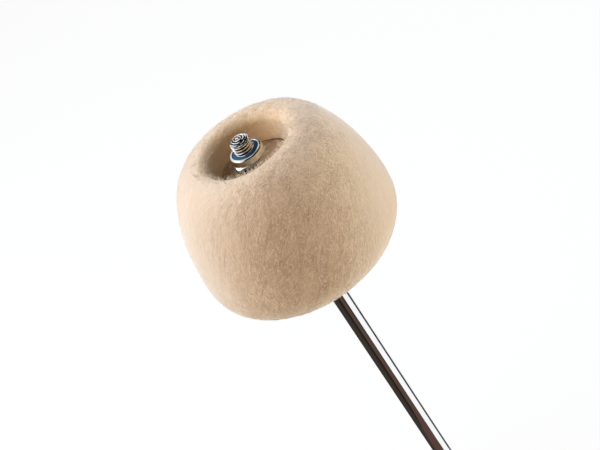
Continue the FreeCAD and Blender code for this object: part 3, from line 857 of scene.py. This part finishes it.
# Nylon ring: a ring of blue nylon shut in under the lock nut's collar.
# The thread cuts its own groove in it, so its inner edge hugs the rod.
ring_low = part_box("nylon_insert")[0].z
ring_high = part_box("nylon_insert")[1].z
ring_bore = 3.97 * mm
ring_reach = 5.98 * mm
ring_bulge = 0.6 * mm
ring_bulge_curve = 0.8
ring_rows = 10
ring_steps = 72
ring_outline = [(ring_bore, ring_low), (ring_reach, ring_low), (ring_reach, ring_high)]
for share in np.linspace(0.0, 1.0, ring_rows):
    ring_outline.append((collar_mouth + share * (ring_bore - collar_mouth),
                         ring_high + ring_bulge * math.sin(0.5 * math.pi * share ** ring_bulge_curve)))
nylon_ring = skin("nylon_ring", [(turned_rows(ring_outline, ring_steps), 0, True)])
blue_nylon, nylon_tree, nylon_shader = new_finish("blue_nylon")
nylon_place = add_node(nylon_tree, "ShaderNodeTexCoord")
nylon_grain = add_node(nylon_tree, "ShaderNodeTexNoise", {
    "Vector": nylon_place.outputs["Object"], "Scale": 1500.0, "Detail": 3.0})
nylon_dark = (0.003, 0.034, 0.072, 1.0)
nylon_pale = (0.007, 0.063, 0.12, 1.0)
nylon_colour = blended(nylon_tree, nylon_grain.outputs["Fac"], nylon_dark, nylon_pale)
nylon_bump = add_node(nylon_tree, "ShaderNodeBump", {"Height": nylon_grain.outputs["Fac"], "Strength": 0.2,
                                                     "Distance": 0.05 * mm})
nylon_tree.links.new(nylon_colour, nylon_shader.inputs["Base Color"])
nylon_tree.links.new(nylon_bump.outputs["Normal"], nylon_shader.inputs["Normal"])
nylon_shader.inputs["Roughness"].default_value = 0.6
nylon_shader.inputs["Specular IOR Level"].default_value = 0.25
nylon_ring.data.materials.append(blue_nylon)
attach(nylon_ring, "insert")
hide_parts("nylon_insert")

# Camera: it looks down on the head from in front, tilted so that the rod runs to the lower right.
# Its place comes from where the head's underside lies in its view.
camera_lens = 73.8
camera_elevation = math.radians(34.24)
camera_roll = math.radians(33.25)
underside_in_view = Vector((5.48 * mm, -11.69 * mm, -497.9 * mm))
camera_turn = (Euler((math.radians(90.0) - camera_elevation, 0.0, 0.0)).to_matrix()
               @ Euler((0.0, 0.0, -camera_roll)).to_matrix())
camera = placed("camera", bpy.data.cameras.new("camera"))
camera.data.lens = camera_lens
camera.data.sensor_width = 36.0
camera.data.clip_start = 0.01
camera.data.clip_end = 50.0
camera.matrix_world = camera_turn.to_4x4()
camera.location = Vector((0.0, 0.0, head_low)) - camera_turn @ underside_in_view
bpy.context.scene.camera = camera
bpy.context.scene.view_settings.view_transform = "Standard"

# Light table: a white floor that seems to glow where it is seen, with soft boxes at both sides of
# the camera and overhead. Cards that only reflections show give the chrome and the nut their bands.
backdrop_white = (1.0, 1.0, 1.0, 1.0)
glow_share = 0.93
floor_half = 3.0
floor_level = -0.5 * mm
floor_mesh = bpy.data.meshes.new("floor")
floor_mesh.from_pydata([(-floor_half, -floor_half, floor_level), (floor_half, -floor_half, floor_level),
                        (floor_half, floor_half, floor_level), (-floor_half, floor_half, floor_level)],
                       [], [(0, 1, 2, 3)])
floor = placed("floor", floor_mesh)
floor.visible_shadow = False
table_white, table_tree, table_shader = new_finish("table_white")
table_tree.nodes.remove(table_shader)
table_matt = add_node(table_tree, "ShaderNodeBsdfDiffuse", {"Color": (0.80, 0.79, 0.75, 1.0)})
table_glow = add_node(table_tree, "ShaderNodeEmission", {"Color": backdrop_white, "Strength": 1.0})


def seen_share(tree):
    """1 for what the camera, a reflection or a clear piece sees, and 0 for soft light."""
    path = add_node(tree, "ShaderNodeLightPath")
    share = worked_out(tree, "MAXIMUM", path.outputs["Is Camera Ray"], path.outputs["Is Glossy Ray"])
    return worked_out(tree, "MAXIMUM", share, path.outputs["Is Transmission Ray"])


table_share = worked_out(table_tree, "MULTIPLY", seen_share(table_tree), glow_share)
table_mix = add_node(table_tree, "ShaderNodeMixShader", {0: table_share, 1: table_matt.outputs[0],
                                                         2: table_glow.outputs[0]})
table_tree.links.new(table_mix.outputs[0], table_tree.nodes["Material Output"].inputs["Surface"])
floor_mesh.materials.append(table_white)

world = bpy.data.worlds.new("studio")
bpy.context.scene.world = world
world.use_nodes = True
world_tree = world.node_tree
room_light = (0.240, 0.200, 0.155, 1.0)
world_colour = blended(world_tree, seen_share(world_tree), room_light, backdrop_white)
world_tree.links.new(world_colour, world_tree.nodes["Background"].inputs["Color"])

# Each soft box: its direction in the camera's view, watts, tint, and whether reflections show it.
soft_boxes = {
    "left_box": ((-1.0, 0.0, 0.0), 4.8, (0.90, 1.03, 1.10), True),
    "left_high_box": ((-1.0, 0.6, 0.0), 1.4, (0.60, 1.00, 1.40), True),
    "right_box": ((1.0, 0.6, 0.0), 2.5, (0.82, 1.04, 1.22), False),
    "right_low_box": ((1.0, 0.0, 0.0), 4.3, (1.10, 1.03, 0.90), False),
    "left_front_box": ((-1.0, 0.0, 0.6), 2.2, (1.27, 0.98, 0.75), False),
    "overhead_box": ((-0.6, 0.7, 0.4), 4.4, (0.78, 0.98, 1.34), False),
}
box_distance = 0.80
box_size = 0.70
lit_height = 35.0 * mm
lit_middle = Vector((0.0, 0.0, head_low + lit_height))
for name, (towards, watts, tint, mirrored) in soft_boxes.items():
    lamp = bpy.data.lights.new(name, "AREA")
    lamp.shape = "DISK"
    lamp.size = box_size
    lamp.energy = watts
    lamp.color = tint
    lamp.cycles.use_multiple_importance_sampling = False
    box = placed(name, lamp)
    away = camera_turn @ Vector(towards).normalized()
    box.location = lit_middle + away * box_distance
    box.rotation_mode = "QUATERNION"
    box.rotation_quaternion = away.to_track_quat("Z", "Y")
    box.visible_camera = False
    box.visible_glossy = mirrored

card_black = (0.020, 0.017, 0.013, 1.0)
# Each flat card: its rows as (distance from the axis, first bearing, last bearing), height and colour.
card_sectors = {
    "card_left": (((0.0, -180.0, 14.0), (0.6, -180.0, 14.0)), 0.3 * mm, (0.044, 0.036, 0.030, 1.0)),
    "card_dark": (((0.04, -64.0, -20.0), (0.6, -64.0, -20.0)), 0.45 * mm, card_black),
    "card_brown": (((0.0, -110.0, 12.0), (0.034, -78.0, 12.0), (0.045, -70.0, 12.0), (0.056, -46.0, 11.0),
                    (0.063, -38.0, 10.0), (0.102, -34.0, 5.0), (0.15, -35.0, -4.0), (0.6, -35.0, -4.0)),
                   0.6 * mm, (0.100, 0.056, 0.045, 1.0)),
    "card_line": (((0.0, 77.0, 108.0), (0.6, 77.0, 108.0)), 0.3 * mm, (0.060, 0.060, 0.065, 1.0))}
card_steps = 40


def hang_card(name, rows, colour):
    """A card of one plain colour that only reflections show."""
    card_mesh = bpy.data.meshes.new(name)
    count, steps = rows.shape[:2]
    faces = [(row * steps + at, row * steps + at + 1, (row + 1) * steps + at + 1, (row + 1) * steps + at)
             for row in range(count - 1) for at in range(steps - 1)]
    card_mesh.from_pydata(rows.reshape(-1, 3).tolist(), [], faces)
    card_finish, card_tree, card_shader = new_finish(name)
    card_tree.nodes.remove(card_shader)
    card_glow = add_node(card_tree, "ShaderNodeEmission", {"Color": colour, "Strength": 1.0})
    card_tree.links.new(card_glow.outputs[0], card_tree.nodes["Material Output"].inputs["Surface"])
    card_mesh.materials.append(card_finish)
    card = placed(name, card_mesh)
    card.visible_camera = False
    card.visible_diffuse = False
    card.visible_shadow = False
    card.visible_transmission = False


def bearing(degrees):
    """The level direction at an angle from the camera's side of the head, turning to its right."""
    return np.array([math.sin(math.radians(degrees)), -math.cos(math.radians(degrees)), 0.0])


for name, (edges, height, colour) in card_sectors.items():
    rows = [[bearing(turn) * reach + (0.0, 0.0, height) for turn in np.linspace(start, stop, card_steps)]
            for reach, start, stop in edges]
    hang_card(name, np.array(rows), colour)

# Each domed card: its bearings, its rises above the level, its distance from the head and its colour.
dome_sectors = {"card_dome": ((-55.0, 115.0), (12.0, 75.0), 0.70, card_black),
                "card_top": ((-105.0, 115.0), (68.0, 89.0), 0.69, (0.150, 0.108, 0.070, 1.0)),
                "card_far": ((140.0, 176.0), (12.0, 38.0), 0.69, card_black),
                "card_straw": ((115.0, 160.0), (12.0, 75.0), 0.70, (0.30, 0.24, 0.15, 1.0))}
for name, (bearings, rises, reach, colour) in dome_sectors.items():
    rows = [[np.array(lit_middle) + reach * (bearing(turn) * math.cos(rise) + (0.0, 0.0, math.sin(rise)))
             for turn in np.linspace(*bearings, card_steps)]
            for rise in np.radians(np.linspace(*rises, card_steps))]
    hang_card(name, np.array(rows), colour)
